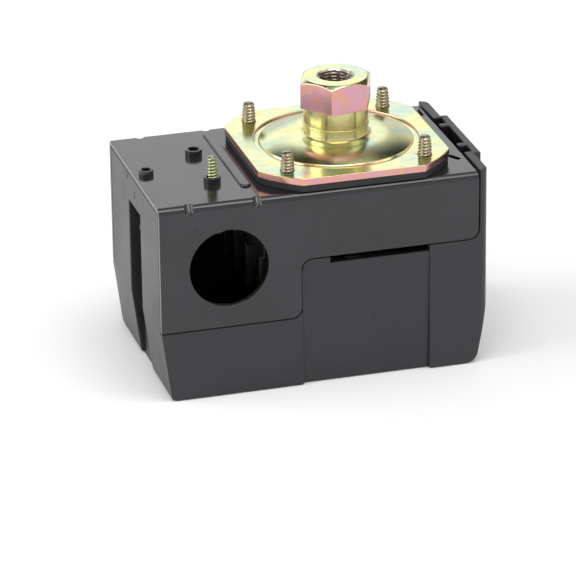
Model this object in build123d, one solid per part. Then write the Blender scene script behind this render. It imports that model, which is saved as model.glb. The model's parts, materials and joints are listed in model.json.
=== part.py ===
from build123d import *
import os
from math import radians, sin, cos, tan

os.makedirs("parts", exist_ok=True)

# Millimetres. The switch lies on the crown of its cover, with the pressure port pointing up.
# It is laid out from where the port's axis crosses the base plate's top face, and saved with the
# origin where the thread starts inside the port's mouth. +X runs along the length, +Y is the back.

# Enclosure
left_reach = 57.9          # port axis to the left end
right_reach = 32.6         # port axis to the base plate's right edge
half_depth = 28.05
sheet = 1.5                # base plate steel
bend_radius = 2.0
tab_depth = 36.3           # how far the conduit tabs reach below the top face
skirt_depth = 19.2         # the same for the rest of the skirt
tab_edge = -18.2           # where a conduit tab ends
skirt_corner = 3.0
cover_depth = 56.6
cover_reach = 35.4         # port axis to the cover's right end
bump_reach = 37.3          # port axis to the end of the bump-out
wall = 2.2                 # cover wall
rim_rise = 0.8             # the cover's right end stands this far above the plate
gap = 0.3                  # between parts that move past each other
play = 0.05                # radial, for screws and pins in their own holes

# Conduit entries
conduit_x = -38.6
conduit_depth = 19.0
conduit_radius = 11.1      # 22.2 mm, half-inch trade size
dart_places = (-49.4, -30.3)

# Pressure connection
port_height = 22.5
hex_flats = 18.5
hex_height = 8.3
hex_turn = -111.7          # direction of one corner, degrees from +X
port_bore = 4.35
port_bore_depth = 10.0
mouth_radius = 5.3
passage_radius = 3.0
shank_radius = 8.95
collar_height = 8.5        # top of the flange's drawn collar
collar_radius = 8.75
spigot_radius = 6.8
flange_half = 27.4
flange_disc = 32.4
flange_sheet = 2.0
diaphragm_rim = 2.0
diaphragm_web = 1.2
chamber_radius = 20.5
groove_outer = 23.1
groove_inner = 21.6
dome_rise = 1.9

# Flange screws
bolt_spacing = 39.2
bolt_radius = 1.93
bolt_tip = 9.6             # how far the screws' ends stand above the base plate

# Tapped collars on the base plate: places and sizes
ground_place = (-38.8, -12.1)
spare_place = (-38.5, 8.9)
end_place = (-54.6, -1.1)
collar_rise = 1.8
collar_outer = 2.35
ground_radius = 1.45
ground_tip = 7.65
bead_x = -30.8
bead_start = -18.5
bead_end = 23.4
bead_width = 3.0
bead_rise = 0.6
edge_slots = ((29.6, -14.5, 4.6, 1.5, -60), (31.3, 20.6, 4.0, 0.8, 90))

# Mechanism
frame_sheet = 1.4
piston_radius = 11.4
piston_stroke = 1.2
stem_radius = 4.0
pivot_x = 27.5
pivot_radius = 2.0
lever_depth = 6.2          # top of the main lever's web
lever_sheet = 1.5
pivot_depth = lever_depth + lever_sheet + gap + pivot_radius
lever_half = 13.0
cheek_half = 15.5
cheek_sheet = 1.2
spring_x = 16.5            # both adjusting studs stand here
range_y = -6.3
range_stud_radius = 2.9
range_stud_end = 50.0
range_spring_radius = 6.25
range_wire = 1.6
range_seat_depth = 36.3
differential_y = 8.0
differential_stud_radius = 1.95
differential_stud_end = 42.0
differential_spring_radius = 4.3
differential_wire = 1.0
differential_seat_depth = 27.3

# Contacts
contact_x = -15.0
block_left = -27.0
block_right = -9.0
block_half = 21.0
block_top = 14.0           # depths below the base plate's top face
block_bottom = 27.0
pole_inner = 5.5
pole_outer = 16.5
strip_width = 5.0
strip_sheet = 1.2
strip_left = -26.6
contact_radius = 1.8
contact_height = 0.7
terminal_x = -23.5
block_screw_x = -24.0
barrier_left = -29.5       # the barriers reach past the terminals, towards the entries

# Manual off lever
off_pivot_x = -34.5
off_pivot_depth = 17.5
off_low = 1.0
off_high = 5.6
off_tip = -55.4
off_sheet = 1.5

# Cover fixing
post_x = -2.0
post_y = 19.5
post_flats = 6.0
post_end = 51.0
cover_screw_radius = 1.95

# Lever slot in the cover's left end
slit_places = ((7.6, -3.2), (-0.2, -6.3))
slot_half = 6.3
slot_top = 9.9
slot_floor = 3.4           # how far the channel is set in from the end face

thread_start = port_height - (mouth_radius - port_bore)
plate_low = -sheet
frame_low = plate_low - frame_sheet
bolt = bolt_spacing / 2
flange_low = diaphragm_rim
flange_top = flange_low + flange_sheet
inner_half = half_depth - sheet


def block(x0, x1, y0, y1, z0, z1):
    return Pos((x0 + x1) / 2, (y0 + y1) / 2, (z0 + z1) / 2) * Box(x1 - x0, y1 - y0, z1 - z0)


def rod(x, y, z0, z1, radius):
    return Pos(x, y, (z0 + z1) / 2) * Cylinder(radius, abs(z1 - z0))


def cross_rod(x, z, y0, y1, radius):
    return Pos(x, (y0 + y1) / 2, z) * Rot(90, 0, 0) * Cylinder(radius, abs(y1 - y0))


def hex_rod(x, y, z0, z1, flats, turn=0):
    outline = RegularPolygon(flats / 2, 6, major_radius=False)
    return Pos(x, y, z0) * Rot(0, 0, turn) * extrude(outline, z1 - z0)


def side_profile(points, y0, y1):
    """Closed outline given as (x, z) points, filled between two places along Y."""
    face = make_face(Plane.XZ * Polyline(*points, close=True))
    return Pos(0, y0, 0) * extrude(face, y1 - y0, dir=(0, 1, 0))


def round_corners(solid, places, radius):
    """Rounds the edges along Y that pass through the given (x, z) places."""
    edges = []
    for x, z in places:
        edges += [e for e in solid.edges().filter_by(Axis.Y)
                  if abs(e.center().X - x) < 0.01 and abs(e.center().Z - z) < 0.01]
    return fillet(edges, radius)


def screw(x, y, seat, tip, radius, head_radius, head_height, taper=0.0):
    """A slotted pan-head screw whose head hangs below its seat, with its tip pointing up."""
    head = rod(x, y, seat - head_height, seat, head_radius)
    head = fillet(head.edges().group_by(Axis.Z)[0], head_height * 0.45)
    slot_width = head_radius * 0.28
    slot_depth = head_height * 0.45
    head -= block(x - head_radius, x + head_radius, y - slot_width / 2, y + slot_width / 2,
                  seat - head_height, seat - head_height + slot_depth)
    shank = rod(x, y, seat, tip, radius)
    end = shank.edges().group_by(Axis.Z)[-1]
    if taper > 0:
        shank = chamfer(end, taper, radius * 0.25)
    else:
        shank = chamfer(end, radius * 0.25)
    return head + shank


def coil(x, y, top, low, outer, wire, turns):
    rise = top - low - wire
    path = Pos(x, y, low + wire / 2) * Helix(rise / turns, rise, outer - wire / 2)
    section = Plane(origin=path @ 0, z_dir=path % 0) * Circle(wire / 2)
    return sweep(section, path=path)


def save(name, shape):
    export_step(Pos(0, 0, -thread_start) * shape, f"parts/{name}.step")


def skirt_outline(grow=0.0, above=1.0):
    """The bent-down sides seen from the front, rounded at the tab and the right end."""
    left = -left_reach - grow
    right = right_reach + grow
    low = -tab_depth - grow
    high = -skirt_depth - grow
    edge = tab_edge + grow
    points = [(left, above), (right, above), (right, high), (edge, high), (edge, low), (left, low)]
    face = side_profile(points, -half_depth - 1, half_depth + 1)
    face = round_corners(face, [(right, high), (edge, low)], skirt_corner + grow)
    return round_corners(face, [(edge, high)], skirt_corner - grow)


def base_plate():
    plate = block(-left_reach, right_reach, -half_depth, half_depth, -tab_depth, 0)
    plate = fillet(plate.edges().filter_by(Axis.X).group_by(Axis.Z)[-1], bend_radius)
    inside = block(-left_reach - 1, right_reach + 1, -inner_half, inner_half, -tab_depth - 1, plate_low)
    inside = fillet(inside.edges().filter_by(Axis.X).group_by(Axis.Z)[-1], bend_radius - sheet)
    plate = (plate - inside) & skirt_outline()
    # stiffening darts pressed into the long bends, each backed by the metal it pushes in
    for x in dart_places:
        for side in (-1, 1):
            out = side * inner_half
            back = side * (inner_half - 2.2)
            web = make_face(Plane.YZ * Polyline((out, plate_low), (back, plate_low),
                                                (out, plate_low - 2.2), close=True))
            plate += Pos(x - 1.5, 0, 0) * extrude(web, 3.0, dir=(1, 0, 0))
            dent = Pos(x, side * (half_depth - 0.4), -0.4) * Rot(45 * side, 0, 0)
            plate -= dent * Cylinder(1.2, 9)
    # raised bead beside the flange
    bead_middle = (bead_start + bead_end) / 2
    outline = Pos(bead_x, bead_middle) * Rot(0, 0, 90) * SlotOverall(bead_end - bead_start, bead_width)
    bead = extrude(outline, bead_rise)
    plate += fillet(bead.edges().group_by(Axis.Z)[-1], bead_rise * 0.8)
    hollow = Pos(bead_x, bead_middle) * Rot(0, 0, 90)
    hollow *= SlotOverall(bead_end - bead_start - bead_width * 0.6, bead_width * 0.4)
    plate -= Pos(0, 0, plate_low) * extrude(hollow, bead_rise)
    # tapped collars, drawn up out of the plate
    for x, y in (ground_place, spare_place):
        plate += rod(x, y, 0, collar_rise, collar_outer)
        plate -= rod(x, y, plate_low - 1, collar_rise + 1, ground_radius + play)
    plate += rod(*end_place, 0, collar_rise * 0.8, collar_outer * 0.87)
    plate -= rod(*end_place, plate_low - 1, collar_rise + 1, ground_radius * 0.87)
    # openings for the piston, the screws and the posts, and two slots by the right edge
    plate -= rod(0, 0, plate_low - 1, 1, piston_radius + 2 * gap)
    for x in (-bolt, bolt):
        for y in (-bolt, bolt):
            plate -= rod(x, y, plate_low - 1, 1, bolt_radius + play)
    for y in (-post_y, post_y):
        plate -= rod(post_x, y, plate_low - 1, 1, bolt_radius + play)
    for x, y, length, width, turn in edge_slots:
        slot = Pos(x, y, plate_low - 1) * Rot(0, 0, turn) * SlotOverall(length, width)
        plate -= extrude(slot, sheet + 2)
    for side in (-1, 1):
        plate -= cross_rod(conduit_x, -conduit_depth, side * (inner_half - 1), side * (half_depth + 1),
                           conduit_radius)
    return plate


def flange_outline(shrink=0.0):
    square = Rectangle(2 * (flange_half - shrink), 2 * (flange_half - shrink))
    return square & Circle(flange_disc - shrink)


def bolt_holes(shape, radius, low, high):
    for x in (-bolt, bolt):
        for y in (-bolt, bolt):
            shape -= rod(x, y, low - 1, high + 1, radius)
    return shape


def pressure_flange():
    plate = Pos(0, 0, flange_low) * extrude(flange_outline(), flange_sheet)
    plate -= rod(0, 0, flange_low - 1, flange_top + 1, groove_outer)
    dome_top = flange_top + dome_rise
    groove_floor = flange_top - 0.55
    foot = collar_radius + 1.0
    with BuildSketch(Plane.XZ) as section:
        with BuildLine():
            Polyline((groove_outer, flange_top), (groove_outer - 0.15, groove_floor),
                     (groove_inner, groove_floor), (groove_inner - 0.35, flange_top))
            ThreePointArc((groove_inner - 0.35, flange_top),
                          ((groove_inner + foot) / 2, flange_top + dome_rise * 0.86), (foot, dome_top))
            Polyline((foot, dome_top), (collar_radius + 0.25, dome_top + 0.25),
                     (collar_radius, dome_top + 1.0), (collar_radius, collar_height),
                     (spigot_radius + play, collar_height), (spigot_radius + play, dome_top - 1.9),
                     (chamber_radius - 1.0, flange_low + 0.35), (chamber_radius, flange_low),
                     (groove_outer, flange_low), (groove_outer, flange_top))
        make_face()
    dome = revolve(section.sketch, Axis.Z)
    return bolt_holes(plate + dome, bolt_radius + play, flange_low, flange_top)


def port_fitting():
    hex_low = port_height - hex_height
    body = hex_rod(0, 0, hex_low, port_height, hex_flats, hex_turn)
    crown = hex_flats / 2 * 0.955
    corner = hex_flats / 2 / cos(radians(30)) + 0.5
    drop = (corner - crown) * tan(radians(30))
    with BuildSketch(Plane.XZ) as section:
        with BuildLine():
            Polyline((0, hex_low - 1), (corner, hex_low - 1), (corner, port_height - drop),
                     (crown, port_height), (0, port_height), close=True)
        make_face()
    body &= revolve(section.sketch, Axis.Z)
    body += rod(0, 0, collar_height, hex_low, shank_radius)
    lip = rod(0, 0, collar_height, collar_height + 0.7, shank_radius + 0.25)
    body += fillet(lip.edges(), 0.2)
    spigot_low = flange_top + dome_rise - 1.9
    body += rod(0, 0, spigot_low, collar_height, spigot_radius)
    body -= rod(0, 0, spigot_low - 1, port_height, passage_radius)
    body -= rod(0, 0, port_height - port_bore_depth, port_height + 1, port_bore)
    flare = mouth_radius - port_bore
    body -= Pos(0, 0, port_height - flare / 2) * Cone(port_bore, mouth_radius, flare)
    return body


def diaphragm():
    sheet_part = extrude(flange_outline(gap), diaphragm_rim)
    sheet_part -= rod(0, 0, diaphragm_web, diaphragm_rim + 1, chamber_radius)
    return bolt_holes(sheet_part, bolt_radius + play, 0, diaphragm_rim)


def piston():
    head = rod(0, 0, -gap - 2.2, -gap, piston_radius)
    head = fillet(head.edges().group_by(Axis.Z)[-1], 0.8)
    stem = rod(0, 0, -lever_depth + gap, -gap - 2.2, stem_radius)
    return head + fillet(stem.edges().group_by(Axis.Z)[0], 2.8)


def mechanism_frame():
    right = right_reach - 1.1
    web = block(-30, right, -23, 23, frame_low, plate_low)
    web += block(off_pivot_x - 2.5, -30, -3, 9, frame_low, plate_low)
    web -= rod(0, 0, frame_low - 1, plate_low + 1, piston_radius + 1.0)
    web = bolt_holes(web, bolt_radius + play, frame_low, plate_low)
    for y in (-post_y, post_y):
        web -= rod(post_x, y, frame_low - 1, plate_low + 1, bolt_radius + play)
    for y in (-2 * pole_inner, 2 * pole_inner):
        web -= rod(block_screw_x, y, frame_low - 1, plate_low + 1, 1.5 + play)
    web -= rod(spring_x, range_y, frame_low - 1, plate_low + 1, range_stud_radius * 0.7 + play)
    web -= rod(spring_x, differential_y, frame_low - 1, plate_low + 1, differential_stud_radius * 0.7 + play)
    for side in (-1, 1):
        near = side * (cheek_half - cheek_sheet)
        far = side * cheek_half
        cheek = block(pivot_x - 7.5, right, min(near, far), max(near, far), -pivot_depth - 4, frame_low)
        cheek = fillet(cheek.edges().filter_by(Axis.Y).group_by(Axis.Z)[0], 2.5)
        web += cheek - cross_rod(pivot_x, -pivot_depth, near - side, far + side, pivot_radius + play)
    # ears for the off lever and the anchor of the snap spring
    for near, far in ((off_low - 1.6, off_low - 0.4), (off_high + 0.4, off_high + 1.6)):
        ear = block(off_pivot_x - 2.5, off_pivot_x + 2.5, near, far, -off_pivot_depth - 3, frame_low)
        ear = fillet(ear.edges().filter_by(Axis.Y).group_by(Axis.Z)[0], 2.3)
        web += ear - cross_rod(off_pivot_x, -off_pivot_depth, near - 1, far + 1, 1.5 + play)
    web += block(-29.2, -28, -6.9, -2.9, -12, frame_low)
    return web


def main_lever():
    low = -lever_depth - lever_sheet
    web = block(-5, pivot_x + 3.5, -lever_half, lever_half, low, -lever_depth)
    web += block(contact_x - 2, -5, -5, 5, low, -lever_depth)
    web = fillet(web.edges().filter_by(Axis.Z).group_by(Axis.X)[0], 2)
    for side in (-1, 1):
        near = side * (lever_half - cheek_sheet)
        far = side * lever_half
        cheek = block(pivot_x - 5.5, pivot_x + 3.5, min(near, far), max(near, far), -pivot_depth - 3, low)
        cheek = fillet(cheek.edges().filter_by(Axis.Y).group_by(Axis.Z)[0], 2.2)
        web += cheek - cross_rod(pivot_x, -pivot_depth, near - side, far + side, pivot_radius + play)
    web -= rod(spring_x, range_y, low - 1, 0, range_stud_radius + 1.3)
    web -= rod(spring_x, differential_y, low - 1, 0, differential_stud_radius + 1.0)
    return web


def pivot_pin():
    pin = cross_rod(pivot_x, -pivot_depth, -cheek_half - 0.1, cheek_half + 2.0, pivot_radius)
    pin += cross_rod(pivot_x, -pivot_depth, -cheek_half - 1.3, -cheek_half - 0.1, pivot_radius + 1.2)
    groove = cross_rod(pivot_x, -pivot_depth, cheek_half + 0.3, cheek_half + 1.1, pivot_radius + 1)
    return pin - (groove - cross_rod(pivot_x, -pivot_depth, cheek_half, cheek_half + 2, pivot_radius - 0.4))


def pivot_clip():
    ring = cross_rod(pivot_x, -pivot_depth, cheek_half + 0.35, cheek_half + 1.05, pivot_radius + 1.6)
    ring -= cross_rod(pivot_x, -pivot_depth, cheek_half, cheek_half + 2, pivot_radius - 0.38)
    return ring - block(pivot_x - 1.2, pivot_x + 1.2, cheek_half, cheek_half + 2,
                        -pivot_depth - 5, -pivot_depth)


def stud(y, radius, end, collar):
    body = rod(spring_x, y, -end, frame_low, radius)
    body = chamfer(body.edges().group_by(Axis.Z)[0], radius * 0.25)
    body += rod(spring_x, y, frame_low - collar, frame_low, radius + 0.9)
    return body + rod(spring_x, y, frame_low, plate_low - 0.1, radius * 0.7)


def spring_seat(y, depth, outer, bore, height, centring):
    seat = rod(spring_x, y, -depth - height, -depth, outer)
    seat = fillet(seat.edges().group_by(Axis.Z)[0], 0.4)
    seat += rod(spring_x, y, -depth, -depth + 1.2, centring)
    return seat - rod(spring_x, y, -depth - height - 1, -depth + 2, bore)


def adjusting_nut(y, top, height, flats, bore):
    nut = hex_rod(spring_x, y, -top - height, -top, flats, 30)
    cone_low = flats / 2 / cos(radians(30))
    limit = rod(spring_x, y, -top - height, -top, cone_low)
    limit = chamfer(limit.edges(), 0.5)
    return (nut & limit) - rod(spring_x, y, -top - height - 1, -top + 1, bore)


def poles():
    return (-pole_outer, -pole_inner, pole_inner, pole_outer)


def contact_block():
    body = block(block_left, block_right, -block_half, block_half, -block_bottom, -block_top)
    window = 2 * pole_inner + 3.2
    body -= block(contact_x - 3.5, contact_x + 3.5, -window, window, -block_bottom - 1, -block_top + 1)
    for y in (-2 * pole_inner, 2 * pole_inner):
        body += block(block_left, block_screw_x + 3, y - 4, y + 4, -block_top, frame_low)
        body -= rod(block_screw_x, y, -block_bottom - 1, 0, 1.5 + play)
    # barriers between the poles and at the ends
    for y in (-2 * pole_inner, 0, 2 * pole_inner):
        body += block(barrier_left, block_left, y - 0.8, y + 0.8, -block_bottom, -block_top - 6)
        body += block(barrier_left, block_left - 0.3, y - 0.8, y + 0.8, -block_bottom - 5, -block_bottom)
    for side in (-1, 1):
        near = side * (block_half - 1.2)
        far = side * block_half
        body += block(block_left - 1.2, block_right, min(near, far), max(near, far), -block_bottom - 5, -block_top - 6)
    for y in poles():
        body -= rod(terminal_x, y, -block_bottom - 1, -block_bottom + 9, 1.7 + play)
    return body


def each_pole(make):
    group = [make(y) for y in poles()]
    return Compound(group)


def terminal_strip(y):
    strip = block(strip_left, contact_x + 3, y - strip_width / 2, y + strip_width / 2,
                  -block_bottom - strip_sheet, -block_bottom)
    return strip - rod(terminal_x, y, -block_bottom - 3, 0, 1.7 + play)


def fixed_contact(y):
    low = -block_bottom - strip_sheet
    button = rod(contact_x, y, low - contact_height, low, contact_radius)
    return fillet(button.edges().group_by(Axis.Z)[0], 0.3)


def terminal_clamp(y):
    top = -block_bottom - strip_sheet
    plate = block(terminal_x - 4.0, terminal_x + 2.8, y - 2.6, y + 2.6, top - 1.2, top)
    plate += block(terminal_x - 4.0, terminal_x - 3.2, y - 2.6, y + 2.6, top - 2.2, top - 1.2)
    return plate - rod(terminal_x, y, top - 3, top + 1, 1.7 + play)


def terminal_screw(y):
    seat = -block_bottom - strip_sheet - 1.2
    return screw(terminal_x, y, seat, -block_bottom + 8, 1.7, 2.7, 2.0)


def bar_top():
    return -block_bottom - strip_sheet - 2 * contact_height - gap


def contact_bar(side):
    low = bar_top() - 1.2
    near = side * (pole_inner - 1.9)
    far = side * (pole_outer + 1.9)
    bar = block(contact_x - 2, contact_x + 2, min(near, far), max(near, far), low, bar_top())
    return fillet(bar.edges().filter_by(Axis.Z), 0.8)


def moving_contact(y):
    button = rod(contact_x, y, bar_top(), bar_top() + contact_height, contact_radius)
    return fillet(button.edges().group_by(Axis.Z)[-1], 0.3)


def contact_carrier():
    rest = -lever_depth - lever_sheet - gap
    top = rest - 0.8
    low = -block_bottom + 2.5
    reach = 2 * pole_inner
    body = block(contact_x - 3.2, contact_x + 3.2, -reach - 2.9, reach + 2.9, low, top)
    # narrow rib that the main lever pushes on
    body += block(contact_x - 0.8, contact_x + 0.8, -4.5, 4.5, top, rest)
    for side in (-1, 1):
        near = side * (reach - 2.3)
        far = side * (reach + 2.3)
        foot = bar_top() - 7.5
        body += block(contact_x - 3.2, contact_x + 3.2, min(near, far), max(near, far), foot, low)
        body -= block(contact_x - 2.1, contact_x + 2.1, min(near, far) - 1, max(near, far) + 1,
                      foot + 1.5, bar_top() + gap)
    # ledge that the off lever's finger pushes on
    ledge_top = -lever_depth - 4.0
    return body + block(contact_x - 6, contact_x - 3.2, off_low, off_high + 0.4, ledge_top - 0.8, ledge_top)


def contact_spring(side):
    top = bar_top() - 1.2
    return coil(contact_x, side * 2 * pole_inner, top - 0.05, bar_top() - 5.95, 1.8, 0.5, 4)


def block_screw(y):
    return screw(block_screw_x, y, -block_bottom, plate_low - 0.1, 1.5, 2.4, 1.8)


def snap_spring():
    start = (-28.0, -11.2)
    end = (contact_x - 3.3, -9.2)
    middle = ((start[0] + end[0]) / 2, -12.6)
    with BuildSketch(Plane.XZ) as section:
        with BuildLine():
            outer = ThreePointArc(start, middle, end)
            inner = ThreePointArc((start[0], start[1] + 0.4), (middle[0], middle[1] + 0.4),
                                  (end[0], end[1] + 0.4))
            Line(outer @ 0, inner @ 0)
            Line(outer @ 1, inner @ 1)
        make_face()
    return Pos(0, -3.4, 0) * extrude(section.sketch, 3)


def off_lever():
    top = -off_pivot_depth + off_sheet * 0.2
    low = top - off_sheet
    finger = -lever_depth - lever_sheet
    finger_end = contact_x - 5.3
    points = [(off_tip, low), (off_tip, top), (off_pivot_x - 1, top),
              (off_pivot_x + 4.5, finger + 1.5), (finger_end, finger + 1.5),
              (finger_end, finger), (off_pivot_x + 5.5, finger), (off_pivot_x + 2.5, low)]
    arm = side_profile(points, off_low, off_high)
    arm += cross_rod(off_pivot_x, -off_pivot_depth, off_low, off_high, 2.8)
    return arm - cross_rod(off_pivot_x, -off_pivot_depth, off_low - 1, off_high + 1, 1.5 + play)


def off_pin():
    pin = cross_rod(off_pivot_x, -off_pivot_depth, off_low - 1.9, off_high + 1.9, 1.5)
    pin += cross_rod(off_pivot_x, -off_pivot_depth, off_low - 2.6, off_low - 1.6, 2.4)
    return pin + cross_rod(off_pivot_x, -off_pivot_depth, off_high + 1.6, off_high + 2.4, 2.0)


def cover_post(y):
    post = hex_rod(post_x, y, -post_end, frame_low, post_flats)
    post += rod(post_x, y, frame_low, -0.1, bolt_radius)
    return post - rod(post_x, y, -post_end - 1, -post_end + 12, cover_screw_radius + play)


def cover_shell(inset, top, right_top):
    """The cover's long profile, set in from its outer faces."""
    left = -left_reach + inset
    right = cover_reach - inset
    low = -cover_depth + inset
    left_foot = left + 2.5
    right_foot = right - 3.4
    points = [(left, top), (left, -37.0), (left_foot, low), (right_foot, low),
              (right, -39.5), (right, right_top)]
    if right_top > top:
        points += [(right_reach + gap, right_top), (right_reach + gap, top)]
    half = half_depth - inset
    shell = side_profile(points, -half, half)
    shell = round_corners(shell, [(right_foot, low)], 3.4)
    return round_corners(shell, [(left_foot, low)], 1.2)


def cover():
    top = plate_low - gap
    body = cover_shell(0, top, rim_rise)
    corners = [e for e in body.edges() if e.center().X > cover_reach - 0.1
               and abs(abs(e.center().Y) - half_depth) < 0.01 and e.center().Z > -39.5]
    body = fillet(corners, 2.6)
    # bump-out at the right end, with three pockets that open upwards
    bump = block(cover_reach - 1, bump_reach, -15.2, 15.2, -10.5, rim_rise)
    lower = bump.edges().filter_by(Axis.Y).group_by(Axis.X)[-1].group_by(Axis.Z)[0]
    bump = chamfer(lower, bump_reach - cover_reach - 0.1)
    body += bump
    # room behind the base plate's sides
    room = skirt_outline(gap, rim_rise + 1)
    ledge = inner_half - gap
    for side in (-1, 1):
        near = side * ledge
        far = side * (half_depth + 2)
        body -= room & block(-left_reach - 2, cover_reach, min(near, far), max(near, far),
                             -cover_depth, rim_rise + 2)
    # hollow inside, narrow behind the skirts and wider below them
    hollow = cover_shell(wall, top + 1, top + 1)
    narrow = ledge - 2.0
    wide = half_depth - 2.9
    inside = hollow & block(-left_reach, right_reach + gap, -narrow, narrow, -cover_depth, top + 2)
    low_left = -tab_depth - 2.5
    low_right = -skirt_depth - 4.5
    inside += hollow & block(-left_reach, right_reach, -wide, wide, -cover_depth, low_left)
    inside += hollow & block(tab_edge + 4, right_reach, -wide, wide, -cover_depth, low_right)
    body -= inside
    # recessed middle panels, deeper towards the crown, and the vent slot above each
    panel_left = tab_edge + 0.4
    panel_right = 18.4
    for side in (-1, 1):
        shallow = side * (half_depth - 0.35)
        deep = side * (half_depth - 1.25)
        past = side * (half_depth + 1)
        outline = make_face(Plane.YZ * Polyline((shallow, -skirt_depth), (deep, -cover_depth - 1),
                                                (past, -cover_depth - 1), (past, -skirt_depth), close=True))
        body -= Pos(panel_left, 0, 0) * extrude(outline, panel_right - panel_left, dir=(1, 0, 0))
        vent_left = tab_edge + 8.3
        low = -skirt_depth - 2.1
        body -= block(vent_left, panel_right, min(side * narrow * 0.9, past), max(side * narrow * 0.9, past),
                      low, -skirt_depth + 1.2)
        # the wall is open around the conduit entry, up to the rim
        reach = conduit_radius + 1.4
        entry = cross_rod(conduit_x, -conduit_depth, side * (narrow - 1), side * (half_depth + 1), reach)
        entry += block(conduit_x - reach, conduit_x + reach, min(side * (narrow - 1), past),
                       max(side * (narrow - 1), past), -conduit_depth, 0)
        body -= entry
    for low_y, high_y in ((9.4, 13.8), (-6.5, 7.0), (-13.4, -8.9)):
        body -= block(right_reach + gap, right_reach + gap + 2.3, low_y, high_y, -8.0, rim_rise + 1)
    # channel for the off lever's tip in the left end, closed inside except where the tip passes
    channel_in = -left_reach + slot_floor
    box_in = channel_in + wall
    box_half = slot_half + 1.6
    housing = block(-left_reach + 1, box_in, -box_half, box_half, -cover_depth + 1, -slot_top + wall)
    body += housing & cover_shell(0.5, top, top)
    body -= block(-left_reach - 1, channel_in, -slot_half, slot_half, -cover_depth - 1, -slot_top)
    body -= block(-left_reach + wall, box_in + 1, off_low - 0.6, slot_half, -26, 0)
    # two narrow slits in the left end, near the rim
    for y, z in slit_places:
        body -= block(-left_reach - 1, -left_reach + 0.8, y - 0.25, y + 0.25, z - 0.8, z + 0.8)
    # bosses and screw recesses in the crown
    for y in (-post_y, post_y):
        body += rod(post_x, y, -cover_depth + 1, -post_end - gap, 5.0)
        body -= rod(post_x, y, -cover_depth - 1, -cover_depth + 3.0, 4.3)
        body -= rod(post_x, y, -cover_depth - 1, 0, cover_screw_radius + 0.3)
    return body


def cover_screw(y):
    return screw(post_x, y, -cover_depth + 3.0, -post_end + 8, cover_screw_radius, 3.6, 2.3)


def flange_screw(x, y):
    return screw(x, y, frame_low, bolt_tip, bolt_radius, 3.6, 2.2, taper=2.2)


def ground_screw():
    seat = plate_low - 0.9
    return screw(*ground_place, seat, ground_tip, ground_radius, 3.0, 2.0)


def ground_washer():
    x, y = ground_place
    washer = rod(x, y, plate_low - 0.9, plate_low, 3.9)
    return washer - rod(x, y, plate_low - 2, 1, ground_radius + play)


save("base_plate", base_plate())
save("pressure_flange", pressure_flange())
save("port_fitting", port_fitting())
save("diaphragm", diaphragm())
save("piston", piston())
flange_screws = [flange_screw(x, y) for x in (-bolt, bolt) for y in (-bolt, bolt)]
save("flange_screws", Compound(flange_screws))
save("ground_screw", ground_screw())
save("ground_washer", ground_washer())
save("mechanism_frame", mechanism_frame())
save("main_lever", main_lever())
save("pivot_pin", pivot_pin())
save("pivot_clip", pivot_clip())
lever_under = -lever_depth - lever_sheet - gap
save("range_stud", stud(range_y, range_stud_radius, range_stud_end, 1.4))
save("range_spring", coil(spring_x, range_y, lever_under, -range_seat_depth,
                          range_spring_radius, range_wire, 7))
save("range_seat", spring_seat(range_y, range_seat_depth, 7.0, range_stud_radius + play, 2.0,
                               range_spring_radius - range_wire - 0.2))
save("range_nut", adjusting_nut(range_y, range_seat_depth + 2.0 + gap, 5.0, 10.0,
                                range_stud_radius + play))
save("differential_stud", stud(differential_y, differential_stud_radius, differential_stud_end, 1.2))
save("differential_spring", coil(spring_x, differential_y, lever_under, -differential_seat_depth,
                                 differential_spring_radius, differential_wire, 7))
save("differential_seat", spring_seat(differential_y, differential_seat_depth, 4.8,
                                      differential_stud_radius + play, 1.5,
                                      differential_spring_radius - differential_wire - 0.2))
save("differential_nut", adjusting_nut(differential_y, differential_seat_depth + 1.5 + gap, 3.2, 7.0,
                                       differential_stud_radius + play))
save("contact_block", contact_block())
save("terminal_strips", each_pole(terminal_strip))
save("fixed_contacts", each_pole(fixed_contact))
save("terminal_clamps", each_pole(terminal_clamp))
save("terminal_screws", each_pole(terminal_screw))
save("block_screws", Compound([block_screw(-2 * pole_inner), block_screw(2 * pole_inner)]))
save("contact_carrier", contact_carrier())
save("contact_bars", Compound([contact_bar(-1), contact_bar(1)]))
save("moving_contacts", each_pole(moving_contact))
save("contact_springs", Compound([contact_spring(-1), contact_spring(1)]))
save("snap_spring", snap_spring())
save("off_lever", off_lever())
save("off_lever_pin", off_pin())
save("cover_posts", Compound([cover_post(-post_y), cover_post(post_y)]))
save("cover_screws", Compound([cover_screw(-post_y), cover_screw(post_y)]))
save("cover", cover())
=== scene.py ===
import json
from math import atan2, cos, pi, radians, sin

import bmesh
import bpy
from mathutils import Matrix, Vector


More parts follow.
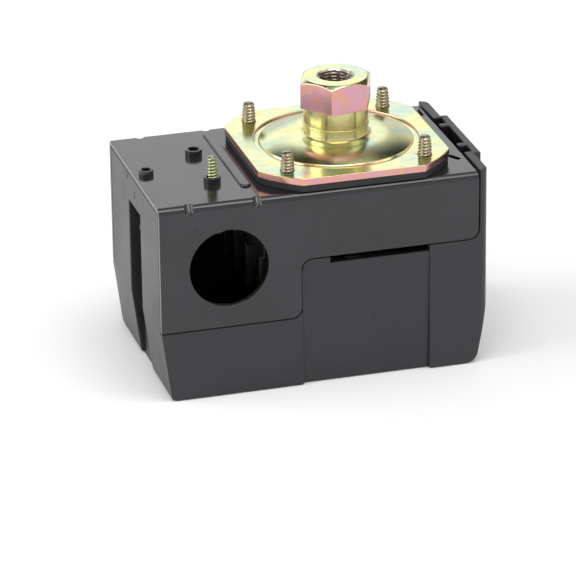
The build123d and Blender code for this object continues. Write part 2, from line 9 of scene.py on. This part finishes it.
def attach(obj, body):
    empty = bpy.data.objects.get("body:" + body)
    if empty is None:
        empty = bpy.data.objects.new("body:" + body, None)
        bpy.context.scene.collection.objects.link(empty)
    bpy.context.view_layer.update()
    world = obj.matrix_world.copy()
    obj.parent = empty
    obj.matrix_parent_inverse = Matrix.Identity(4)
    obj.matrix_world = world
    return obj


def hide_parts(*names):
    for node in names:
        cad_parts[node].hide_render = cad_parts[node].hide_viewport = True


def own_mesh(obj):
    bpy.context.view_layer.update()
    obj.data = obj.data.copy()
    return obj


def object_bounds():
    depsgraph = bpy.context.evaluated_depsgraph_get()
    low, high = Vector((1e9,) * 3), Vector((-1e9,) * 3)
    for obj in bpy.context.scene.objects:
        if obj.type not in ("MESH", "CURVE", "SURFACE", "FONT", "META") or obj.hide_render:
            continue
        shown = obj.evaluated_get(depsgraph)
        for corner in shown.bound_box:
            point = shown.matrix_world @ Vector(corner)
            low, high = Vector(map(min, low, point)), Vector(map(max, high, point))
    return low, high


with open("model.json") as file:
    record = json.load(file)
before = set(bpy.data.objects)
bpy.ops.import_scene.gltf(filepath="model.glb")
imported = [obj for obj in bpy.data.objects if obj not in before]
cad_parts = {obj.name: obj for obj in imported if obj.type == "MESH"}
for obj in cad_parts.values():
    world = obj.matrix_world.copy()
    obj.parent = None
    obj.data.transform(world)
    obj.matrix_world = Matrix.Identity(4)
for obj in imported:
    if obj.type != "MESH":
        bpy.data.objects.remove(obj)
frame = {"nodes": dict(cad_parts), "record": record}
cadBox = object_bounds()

scene = bpy.context.scene
mm = 0.001
plateTop = -21.55          # top face of the base plate, in mm from where the port's thread starts
bodyOf = {node: body for body, group in frame["record"]["behaviour"]["bodies"].items() for node in group}
slotOf = {entry["node"]: entry["material_slot"] for entry in frame["record"]["subparts"]}

# where the camera stands in metres, where it points in degrees, and its lens and sensor in mm
view = {"place": (-0.30099, -1.01721, 0.39591), "yaw": 15.74, "pitch": -23.39, "roll": -0.70,
        "lens": 256.6, "sensor": 36, "farthest": 100}


def makeCamera():
    yaw, pitch, roll = (radians(view[name]) for name in ("yaw", "pitch", "roll"))
    forward = Vector((sin(yaw) * cos(pitch), cos(yaw) * cos(pitch), sin(pitch)))
    level = Vector((cos(yaw), -sin(yaw), 0))
    lift = level.cross(forward)
    across = level * cos(roll) + lift * sin(roll)
    upward = lift * cos(roll) - level * sin(roll)
    data = bpy.data.cameras.new("camera")
    data.lens = view["lens"]
    data.sensor_width = view["sensor"]
    data.clip_end = view["farthest"]
    camera = bpy.data.objects.new("camera", data)
    turned = Matrix((across, upward, -forward)).transposed().to_4x4()
    camera.matrix_world = Matrix.Translation(view["place"]) @ turned
    scene.collection.objects.link(camera)
    scene.camera = camera


makeCamera()
print("camera placed")


def linear(hexColour):
    channels = [int(hexColour[i:i + 2], 16) / 255 for i in (1, 3, 5)]
    return [c / 12.92 if c <= 0.04045 else ((c + 0.055) / 1.055) ** 2.4 for c in channels] + [1]


def addNode(tree, kind, inputs=(), **settings):
    # inputs holds constants or sockets to link, settings the node's own properties
    node = tree.nodes.new("ShaderNode" + kind)
    for name, value in settings.items():
        setattr(node, name, value)
    for name, value in dict(inputs).items():
        if isinstance(value, bpy.types.NodeSocket):
            tree.links.new(value, node.inputs[name])
        else:
            node.inputs[name].default_value = value
    return node


def startMaterial(name, **constants):
    material = bpy.data.materials.new(name)
    material.use_nodes = True
    tree = material.node_tree
    shader = tree.nodes["Principled BSDF"]
    for key, value in constants.items():
        shader.inputs[key.replace("_", " ")].default_value = value
    place = addNode(tree, "TexCoord").outputs["Object"]
    return material, tree, shader, place


def perMetre(sizeInMm):
    return 1000 / sizeInMm


def ramp(tree, factor, stops):
    node = addNode(tree, "ValToRGB", {"Fac": factor})
    elements = node.color_ramp.elements
    elements[0].position, elements[0].color = stops[0][0], linear(stops[0][1])
    elements[1].position, elements[1].color = stops[-1][0], linear(stops[-1][1])
    for position, colour in stops[1:-1]:
        elements.new(position).color = linear(colour)
    return node.outputs["Color"]


def noise(tree, place, sizeInMm, detail=2.0, distortion=0.0):
    return addNode(tree, "TexNoise", {"Vector": place, "Scale": perMetre(sizeInMm), "Detail": detail,
                                      "Distortion": distortion}).outputs["Fac"]


def between(tree, factor, low, high, fromLow=0.3, fromHigh=0.7):
    return addNode(tree, "MapRange", {"Value": factor, "From Min": fromLow, "From Max": fromHigh,
                                      "To Min": low, "To Max": high}).outputs["Result"]


def bump(tree, height, heightInMm, strength):
    inputs = {"Height": height, "Distance": heightInMm * mm, "Strength": strength}
    return addNode(tree, "Bump", inputs).outputs["Normal"]


def blend(tree, factor, first, second):
    node = addNode(tree, "Mix", data_type="RGBA", blend_type="MIX")
    for index, value in ((0, factor), (6, first), (7, second)):    # its factor and its two colours
        if isinstance(value, bpy.types.NodeSocket):
            tree.links.new(value, node.inputs[index])
        else:
            node.inputs[index].default_value = value
    return node.outputs[2]    # the mixed colour


def enamelledSteel(name, base, worn, gloss):
    # stoved enamel over sheet steel: deep gloss, a faint orange peel and a little dust
    material, tree, shader, place = startMaterial(name, IOR=1.58)
    cloud = noise(tree, place, 16, 3)
    speck = addNode(tree, "TexVoronoi", {"Vector": place, "Scale": perMetre(3.1)}).outputs["Distance"]
    dust = between(tree, speck, 0.3, 0, 0.02, 0.06)
    colour = blend(tree, between(tree, cloud, 0, 1), linear(base), linear(worn))
    colour = blend(tree, dust, colour, linear("#8E8C90"))
    tree.links.new(colour, shader.inputs["Base Color"])
    tree.links.new(between(tree, cloud, gloss, gloss + 0.05), shader.inputs["Roughness"])
    tree.links.new(bump(tree, noise(tree, place, 1.4, 1), 0.008, 0.5), shader.inputs["Normal"])
    return material


def mouldedPlastic(name, base, light, rough, grain=0.3, grainHeight=0.01):
    # injection-moulded plastic with a fine spark-eroded texture, and paler scuffs
    material, tree, shader, place = startMaterial(name, IOR=1.52)
    cloud = noise(tree, place, 14, 3)
    scuff = noise(tree, place, 1.6, 4, 1.0)
    colour = blend(tree, between(tree, cloud, 0, 1), linear(base), linear(light))
    colour = blend(tree, between(tree, scuff, 0, 0.2, 0.68, 0.8), colour, linear("#7C7A7C"))
    tree.links.new(colour, shader.inputs["Base Color"])
    tree.links.new(between(tree, cloud, rough, rough + 0.08), shader.inputs["Roughness"])
    tree.links.new(bump(tree, noise(tree, place, grain, 2), grainHeight, 0.6), shader.inputs["Normal"])
    return material


# the film's colours as it thickens, thinnest first
chromateFilm = [(0.0, "#B4CDBE"), (0.18, "#C9D3AE"), (0.36, "#DDDAA0"), (0.52, "#DFCF8E"),
                (0.66, "#DDB088"), (0.82, "#DBA094"), (1.0, "#D2A0AE")]


def chromatedSteel(name, paintedSheen, rough=0.17):
    # zinc plate with a yellow chromate film: pale green and straw where flat, with tones drifting at random;
    # upright faces are pushed pinker by which way they point, a painted sheen of the film
    material, tree, shader, place = startMaterial(name, Metallic=1.0)
    outward = addNode(tree, "TexCoord").outputs["Normal"]
    facing = addNode(tree, "SeparateXYZ", {"Vector": outward}).outputs["Z"]
    # painted sheen: faces that do not point straight up are moved pinker along the film's colours
    upright = between(tree, facing, paintedSheen, 0, 0.3, 0.75)
    drift = between(tree, noise(tree, place, 15, 2, 0.5), 0, 0.5)
    patch = between(tree, noise(tree, place, 4.5, 3, 0.8), -0.06, 0.1)
    total = addNode(tree, "Math", {0: upright, 1: drift}, operation="ADD").outputs[0]
    total = addNode(tree, "Math", {0: total, 1: patch}, operation="ADD").outputs[0]
    tree.links.new(ramp(tree, total, chromateFilm), shader.inputs["Base Color"])
    tree.links.new(between(tree, noise(tree, place, 3, 3), rough, rough + 0.08), shader.inputs["Roughness"])
    tree.links.new(bump(tree, noise(tree, place, 0.9, 2), 0.0025, 0.5), shader.inputs["Normal"])
    return material


def platedMetal(name, base, tint, rough, size=1.2, lump=0.004):
    # bright plating or bare metal with soft streaks and fine handling marks
    material, tree, shader, place = startMaterial(name, Metallic=1.0)
    cloud = noise(tree, place, size * 2.5, 3, 0.5)
    colour = blend(tree, between(tree, cloud, 0, 1), linear(base), linear(tint))
    tree.links.new(colour, shader.inputs["Base Color"])
    tree.links.new(between(tree, noise(tree, place, size, 3), rough, rough + 0.1), shader.inputs["Roughness"])
    tree.links.new(bump(tree, noise(tree, place, 0.4, 2), lump, 0.6), shader.inputs["Normal"])
    return material


materials = {
    "black_enamel_steel": enamelledSteel("stovedEnamelOnSteel", "#19171C", "#222025", 0.15),
    "charcoal_plastic": mouldedPlastic("mouldedAbs", "#1D1B20", "#252328", 0.34),
    # 0.6 is the painted sheen that turns upright faces of the film pinker
    "yellow_zinc_steel": chromatedSteel("yellowChromatedZinc", 0.6),
    "pale_zinc_steel": platedMetal("paleChromatedZinc", "#A9A18A", "#8C8266", 0.2),
    "green_zinc_steel": platedMetal("greenDyedZinc", "#8E9A70", "#A3A885", 0.24),
    "bright_zinc_steel": platedMetal("brightZinc", "#B6BABF", "#A9ABB2", 0.3),
    "spring_steel": platedMetal("oiledSpringSteel", "#77777A", "#5F5F62", 0.32),
    "black_rubber": mouldedPlastic("nitrileRubber", "#19191A", "#1F1F20", 0.6, 0.5),
    "brass": platedMetal("rolledBrass", "#B8904A", "#96733C", 0.3),
    "silver_contact": platedMetal("silverAlloy", "#DAD8D2", "#C9C8C4", 0.35),
    "black_phenolic": mouldedPlastic("mouldedPhenolic", "#171515", "#1E1B1B", 0.35, 0.4, 0.008),
    "ivory_plastic": mouldedPlastic("mouldedAcetal", "#D2C9AE", "#DDD5BE", 0.38, 0.4, 0.008),
}
cutSteel = platedMetal("cutSteelThread", "#C9C5BE", "#B3A698", 0.18)
goldChromate = platedMetal("goldChromatedZinc", "#D9CE98", "#C6BB86", 0.15, 3.0, 0.0015)
for node, piece in frame["nodes"].items():
    piece.data.materials.clear()
    piece.data.materials.append(materials[slotOf[node]])
print("materials made")


# distances in mm and angles in degrees: points merged, flat faces joined, edges shaded sharp, steps in a bevel
meshing = {"merge": 0.0005, "flat": 0.8, "sharp": 48, "bevelSteps": 2}


def cadCopy(node):
    mesh = bmesh.new()
    mesh.from_mesh(frame["nodes"][node].data)
    bmesh.ops.remove_doubles(mesh, verts=mesh.verts, dist=meshing["merge"] * mm)
    bmesh.ops.dissolve_limit(mesh, angle_limit=radians(meshing["flat"]), verts=mesh.verts, edges=mesh.edges)
    return mesh


def breakEdges(mesh, width, sharperThan=30, where=None):
    # rounds the outer edges that turn by more than sharperThan degrees, or only those that where picks
    edges = [e for e in mesh.edges if len(e.link_faces) == 2 and e.is_convex
             and e.calc_face_angle() > radians(sharperThan)
             and (where is None or where((e.verts[0].co + e.verts[1].co) / 2))]
    bmesh.ops.bevel(mesh, geom=edges, offset=width * mm, offset_type="OFFSET", segments=meshing["bevelSteps"],
                    profile=0.5, affect="EDGES", clamp_overlap=False, material=-1)


def finishPiece(name, mesh, node, looks, pick=None):
    # pick gives the number of a face's look
    bmesh.ops.triangulate(mesh, faces=[f for f in mesh.faces if len(f.verts) > 4])
    for face in mesh.faces:
        face.smooth = True
        if pick:
            face.material_index = pick(face)
    for edge in mesh.edges:
        edge.smooth = len(edge.link_faces) == 2 and edge.calc_face_angle() < radians(meshing["sharp"])
    data = bpy.data.meshes.new(name)
    mesh.to_mesh(data)
    mesh.free()
    for look in looks:
        data.materials.append(look)
    piece = bpy.data.objects.new(name, data)
    scene.collection.objects.link(piece)
    even = piece.modifiers.new("even", "WEIGHTED_NORMAL")
    even.keep_sharp = True
    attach(piece, bodyOf[node])
    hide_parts(node)
    return piece


# edge softness of the moulded and pressed pieces, in mm
edges = {"base_plate": 0.14, "cover": 0.3, "pressure_flange": 0.18, "diaphragm": 0.2, "mechanism_frame": 0.14,
         "main_lever": 0.14, "contact_block": 0.3, "contact_carrier": 0.25, "off_lever": 0.2}
goldReach = 9.6            # the flange's drawn collar, in mm from the port's axis


def pickCollar(face):
    return 1 if face.calc_center_median().xy.length < goldReach * mm else 0


for node, width in edges.items():
    mesh = cadCopy(node)
    breakEdges(mesh, width)
    looks = [materials[slotOf[node]]]
    if node == "pressure_flange":
        looks.append(goldChromate)
    finishPiece(node + ".finished", mesh, node, looks, pickCollar if len(looks) > 1 else None)
print("plates and mouldings finished")


# each spring shortens towards the lever as its seat is screwed up, so travel is the seat's, in mm
springs = {"range_spring": {"seat": "range_seat_slide", "travel": 5.0},
           "differential_spring": {"seat": "differential_seat_slide", "travel": 2.8}}
for node, spring in springs.items():
    coiled = finishPiece(node + ".coiled", cadCopy(node), node, [materials[slotOf[node]]])
    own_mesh(coiled)
print("springs made")


def spinThread(mesh, centre, rows, shape, steps=48):
    # turns an outline of (radius, height) rows round an upright axis, then cuts the thread into it
    cx, cy = centre
    verts = [mesh.verts.new(((cx + r) * mm, cy * mm, z * mm)) for r, z in rows]
    line = [mesh.edges.new(pair) for pair in zip(verts, verts[1:])]
    known = set(mesh.verts) - set(verts)
    bmesh.ops.spin(mesh, geom=verts + line, cent=(cx * mm, cy * mm, 0), axis=(0, 0, 1), angle=2 * pi,
                   steps=steps, use_merge=True, use_duplicate=False)
    turned = [v for v in mesh.verts if v not in known]
    for v in turned:
        dx, dy, z = v.co.x / mm - cx, v.co.y / mm - cy, v.co.z / mm
        radius = (dx * dx + dy * dy) ** 0.5
        if radius > 0.01:
            scale = shape(radius, z, atan2(dy, dx)) / radius
            v.co.x, v.co.y = (cx + dx * scale) * mm, (cy + dy * scale) * mm
    bmesh.ops.remove_doubles(mesh, verts=turned, dist=meshing["merge"] * mm)
    return [v for v in turned if v.is_valid]


def groove(z, angle, pitch):
    # 0 on a crest and 1 at a root of a right-hand thread
    turn = (z / pitch - angle / (2 * pi)) % 1
    return min(1, max(0, (1 - abs(2 * turn - 1) - 0.12) / 0.72))


def rim(mesh, centre, radius, z):
    # the open edges that lie on a circle round centre, to a few hundredths of a mm
    found = []
    for e in mesh.edges:
        if e.is_boundary:
            far = [(v.co.xy / mm - Vector(centre)).length for v in e.verts]
            if all(abs(v.co.z / mm - z) < 0.02 for v in e.verts) and all(abs(d - radius) < 0.04 for d in far):
                found.append(e)
    return found


def steps(low, high, size):
    count = max(2, round((high - low) / size))
    return [low + (high - low) * i / count for i in range(count + 1)]


def threadScrews(node, centres, screw, look):
    # keeps each screw's head from the solid and spins a threaded shank on its seat
    mesh = cadCopy(node)
    radius, seat, tip, pitch = screw["radius"], screw["seat"], screw["tip"], screw["pitch"]
    above = [f for f in mesh.faces if f.calc_center_median().z / mm > seat + 0.05]
    bmesh.ops.delete(mesh, geom=above, context="FACES")
    start = seat + screw["plain"]
    crown = tip - screw["round"]
    rows = [(radius, seat), (radius, start)]
    for z in steps(start, crown, pitch / 9)[1:]:
        rows.append((radius - screw["taper"] * max(0, (z - (crown - 3)) / 3), z))
    last = rows[-1][0]
    rows += [(last * cos(a), crown + screw["round"] * sin(a)) for a in (pi / 8, pi / 4, 3 * pi / 8)] + [(0, tip)]

    def shape(r, z, angle):
        # the cut fades in over the first turn and out at the tip
        fade = min(1, max(0, (z - start) / pitch)) * min(1, max(0, (tip - 0.05 - z) / (pitch * 0.6)))
        return r - screw["cut"] * fade * groove(z, angle, pitch)

    for centre in centres:
        spinThread(mesh, centre, rows, shape, 40)
        bmesh.ops.bridge_loops(mesh, edges=rim(mesh, centre, radius, seat))
    bmesh.ops.remove_doubles(mesh, verts=mesh.verts, dist=meshing["merge"] * mm)
    bmesh.ops.recalc_face_normals(mesh, faces=mesh.faces)
    finishPiece(node + ".threaded", mesh, node, [look])


def frameHeight(z):
    # from a height over the base plate's top face
    return z + plateTop


flangeScrew = {"spacing": 39.2, "radius": 1.93, "seat": frameHeight(-2.9), "tip": frameHeight(9.6),
               "pitch": 0.9, "cut": 0.38, "taper": 0.3, "plain": 0.4, "round": 0.45}
groundScrew = {"place": (-38.8, -12.1), "radius": 1.45, "seat": frameHeight(-2.4), "tip": frameHeight(7.65),
               "pitch": 0.9, "cut": 0.32, "taper": 0.15, "plain": 0.4, "round": 0.45}
half = flangeScrew["spacing"] / 2
corners = [(x, y) for x in (-half, half) for y in (-half, half)]
threadScrews("flange_screws", corners, flangeScrew, materials["pale_zinc_steel"])
threadScrews("ground_screw", [groundScrew["place"]], groundScrew, materials["green_zinc_steel"])
print("screws threaded")

# the port: the outside comes from the solid, and the thread is cut inside it
port = {"face": 0.95, "mouth": 5.3, "minor": 4.35, "major": 5.14, "pitch": 0.9407, "depth": -9.05,
        "passage": 3.0, "low": -17.55, "hexLow": -7.35, "edge": 0.16, "edgesFrom": 5.6}


def portFitting():
    mesh = cadCopy("port_fitting")
    inside = []
    for f in mesh.faces:
        c = f.calc_center_median()
        reach = max(v.co.xy.length for v in f.verts)
        if reach < (port["mouth"] + 0.01) * mm and abs(c.z / mm - port["low"]) > 0.05:
            inside.append(f)
    bmesh.ops.delete(mesh, geom=inside, context="FACES")
    breakEdges(mesh, port["edge"], 20, where=lambda c: c.xy.length > port["edgesFrom"] * mm)
    top, deep = port["face"], port["depth"]
    # the outline starts and ends just inside the solid's own circles, which are joined to it afterwards
    rows = [(port["mouth"] - 0.03, top)] + [(port["minor"] + z, z) for z in steps(0, top - 0.06, 0.1)[::-1]]
    rows += [(port["minor"], z) for z in steps(deep, 0, port["pitch"] / 12)[::-1][1:]]
    rows += [(port["passage"] + 0.05, deep), (port["passage"] + 0.02, port["low"])]

    def shape(r, z, angle):
        if z < deep + 0.02 or z > top - 0.02:
            return r
        fade = min(1, (z - deep) / port["pitch"])
        cut = port["minor"] + (port["major"] - port["minor"]) * fade * (1 - groove(z, angle, port["pitch"]))
        return max(r, cut)

    spinThread(mesh, (0, 0), rows, shape, 96)
    for radius, z in ((port["mouth"], top), (port["passage"], port["low"])):
        loops = rim(mesh, (0, 0), radius, z)
        bmesh.ops.triangle_fill(mesh, edges=loops, use_beauty=True, use_dissolve=False, normal=(0, 0, 1))
    bmesh.ops.remove_doubles(mesh, verts=mesh.verts, dist=meshing["merge"] * mm)
    bmesh.ops.recalc_face_normals(mesh, faces=mesh.faces)

    def pick(face):
        c = face.calc_center_median()
        if c.xy.length < (port["mouth"] - 0.2) * mm:
            return 1
        return 2 if c.z / mm < port["hexLow"] - 0.02 else 0

    finishPiece("port_fitting.threaded", mesh, "port_fitting",
                [materials["yellow_zinc_steel"], cutSteel, goldChromate], pick)


portFitting()
print("port made")


def makeStage():
    floorMesh = bmesh.new()
    bmesh.ops.create_grid(floorMesh, x_segments=1, y_segments=1, size=12)
    data = bpy.data.meshes.new("floor")
    floorMesh.to_mesh(data)
    floorMesh.free()
    data.transform(Matrix.Translation((0, 0, cadBox[0][2] - 0.0002)))
    # smooth matt paper, a shade under white
    paper = startMaterial("whitePaper", Roughness=0.9, Base_Color=linear("#F4F4F4"))[0]
    data.materials.append(paper)
    ground = bpy.data.objects.new("floor", data)
    scene.collection.objects.link(ground)


# places and sizes in metres, power in watts
softboxes = {
    "above": {"place": (0.0, -0.35, 1.3), "size": (1.0, 0.7), "power": 8},
    "left": {"place": (-1.3, 0.1, 0.6), "size": (1.2, 1.0), "power": 11},
    "behind": {"place": (-0.1, 1.5, 0.68), "size": (1.5, 0.5), "power": 1.7},
    "right": {"place": (1.2, -0.5, 0.9), "size": (0.9, 0.9), "power": 2.5},
}
# the studio's walls and ceiling: their brightness by height, and two dark flags that give metal its contrast
room = {"strength": 0.9, "shade": "#2E2E2E", "flags": [((-0.16, 0.5, 0.85), 0.94), ((0.6, 0.5, 0.62), 0.955)],
        "walls": [(0.0, "#FFFFFF"), (0.3, "#F6F6F6"), (0.55, "#E4E4E4"), (0.75, "#C8C8C8"), (0.93, "#FFFFFF")]}


def makeLights():
    for name, box in softboxes.items():
        data = bpy.data.lights.new(name, "AREA")
        data.shape = "RECTANGLE"
        data.size, data.size_y = box["size"]
        data.energy = box["power"]
        lamp = bpy.data.objects.new(name, data)
        aim = Vector((0, 0, -0.04)) - Vector(box["place"])
        turned = aim.to_track_quat("-Z", "Y").to_matrix().to_4x4()
        lamp.matrix_world = Matrix.Translation(box["place"]) @ turned
        scene.collection.objects.link(lamp)
    world = bpy.data.worlds.new("studio")
    world.use_nodes = True
    tree = world.node_tree
    around = addNode(tree, "TexCoord").outputs["Generated"]
    up = addNode(tree, "SeparateXYZ", {"Vector": around}).outputs["Z"]
    sky = ramp(tree, up, room["walls"])
    for towards, edge in room["flags"]:
        near = addNode(tree, "VectorMath", {0: around, 1: Vector(towards).normalized()}, operation="DOT_PRODUCT")
        dark = between(tree, near.outputs["Value"], 0, 1, edge - 0.05, edge + 0.03)
        sky = blend(tree, dark, sky, linear(room["shade"]))
    tree.links.new(sky, tree.nodes["Background"].inputs["Color"])
    tree.nodes["Background"].inputs["Strength"].default_value = room["strength"]
    scene.world = world
    scene.view_settings.view_transform = "Standard"


makeStage()
makeLights()
print("stage lit")
